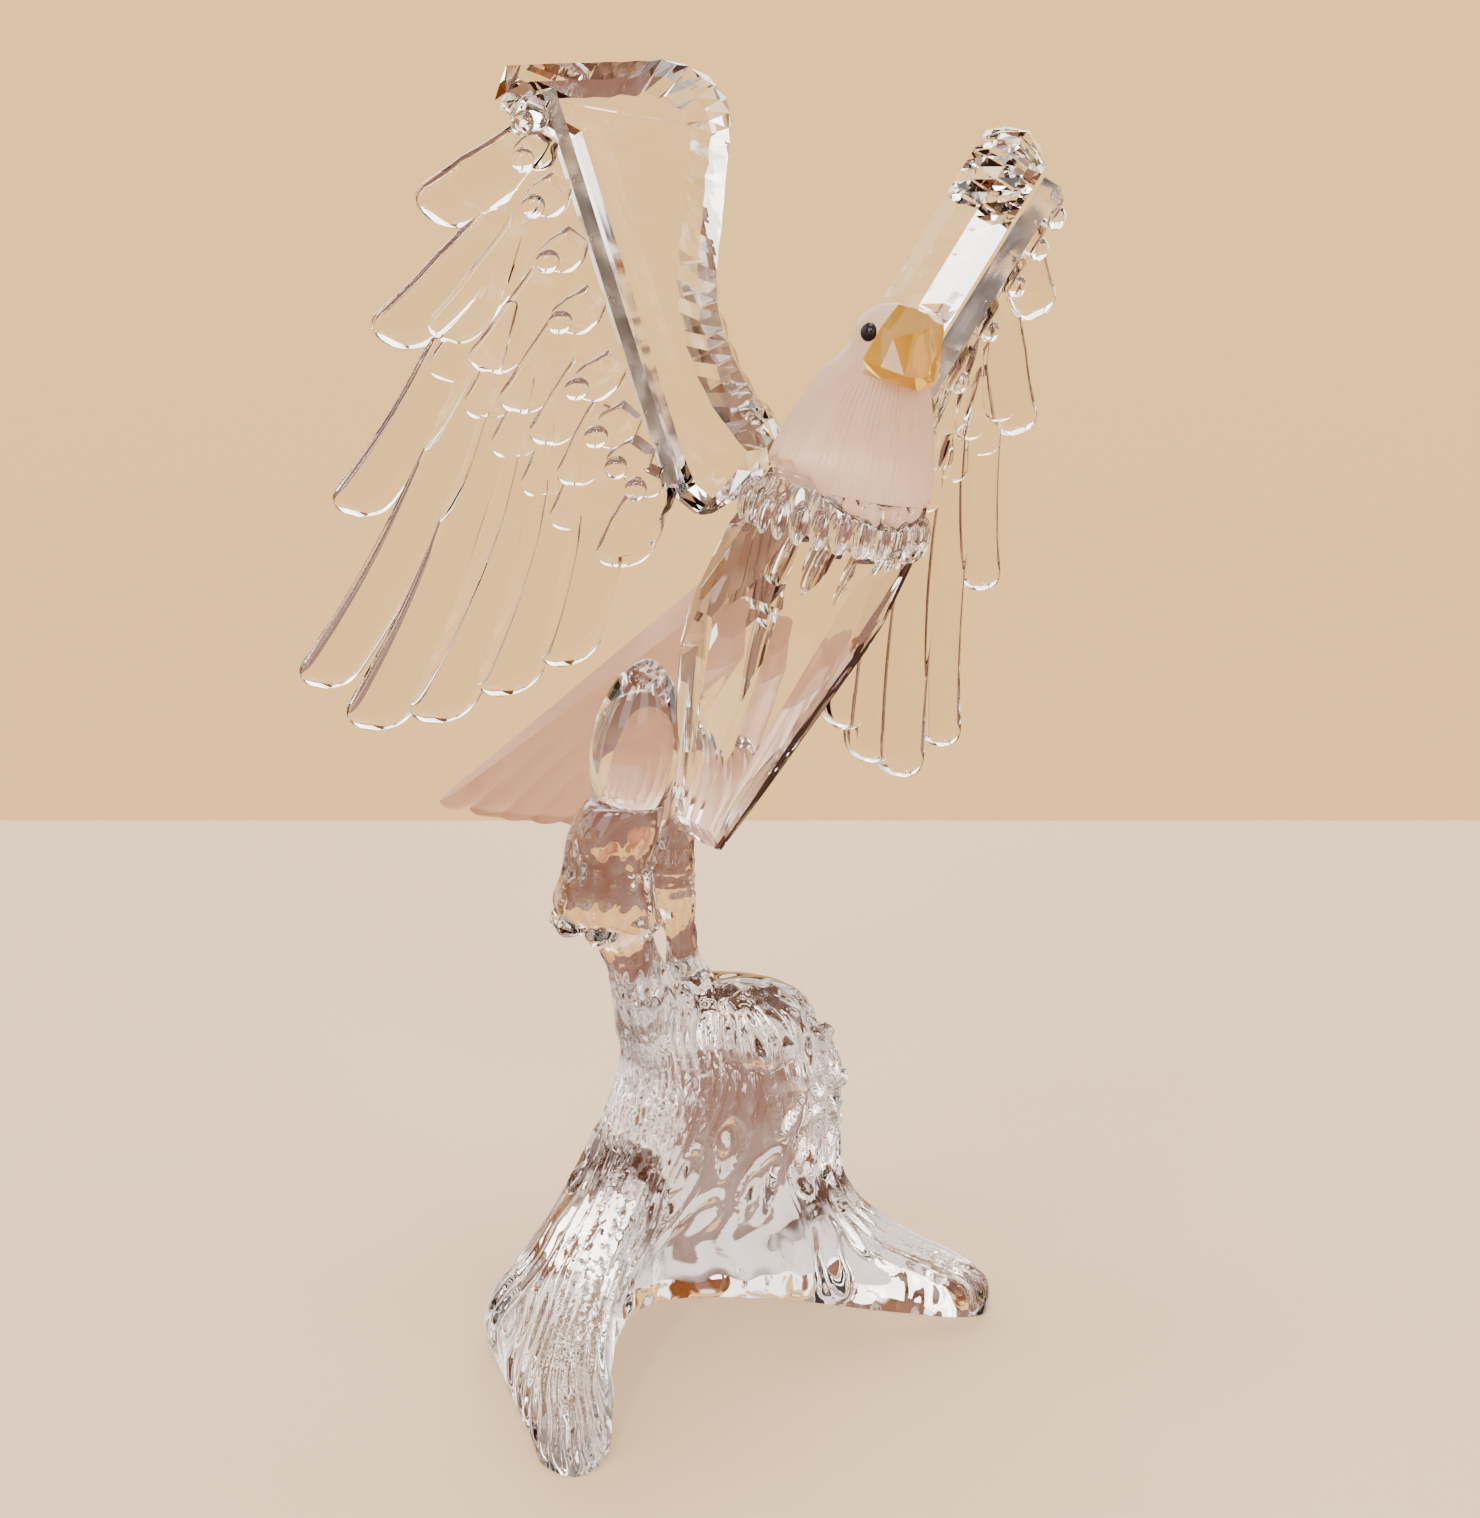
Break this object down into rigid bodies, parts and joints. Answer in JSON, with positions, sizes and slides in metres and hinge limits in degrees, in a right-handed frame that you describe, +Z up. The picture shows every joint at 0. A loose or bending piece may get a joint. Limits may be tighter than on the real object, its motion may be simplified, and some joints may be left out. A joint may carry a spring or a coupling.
{
  "type": "crystal eagle figurine",
  "caption": "Clear and frosted cut crystal eagle with raised wings and an amber beak, landing on a moulded crystal tree stump with spreading roots",
  "frame": {"origin": "on the flat ground underside of the stump, below the fork of its stems", "axes": "+Z up, +Y to the back of the stump, +X to the side that the eagle's head looks to"},
  "size_m": [0.0979, 0.0814, 0.1697],
  "materials": {
    "clear_crystal": "polished, cut facets",
    "stump_crystal": "fire polished, moulded bark flutes",
    "frosted_crystal": "satin frosted",
    "amber_crystal": "polished, cut facets",
    "black_glass": "polished"
  },
  "bodies": {
    "root": {"tree_stump": "stump_crystal", "body": "clear_crystal", "head": "frosted_crystal", "beak": "amber_crystal", "right_eye": "black_glass", "left_eye": "black_glass", "right_wing_arm": "clear_crystal", "right_wing_feathers": "clear_crystal", "left_wing_arm": "clear_crystal", "left_wing_feathers": "clear_crystal", "tail": "frosted_crystal", "right_thigh": "clear_crystal", "left_thigh": "clear_crystal"}
  },
  "joints": []
}
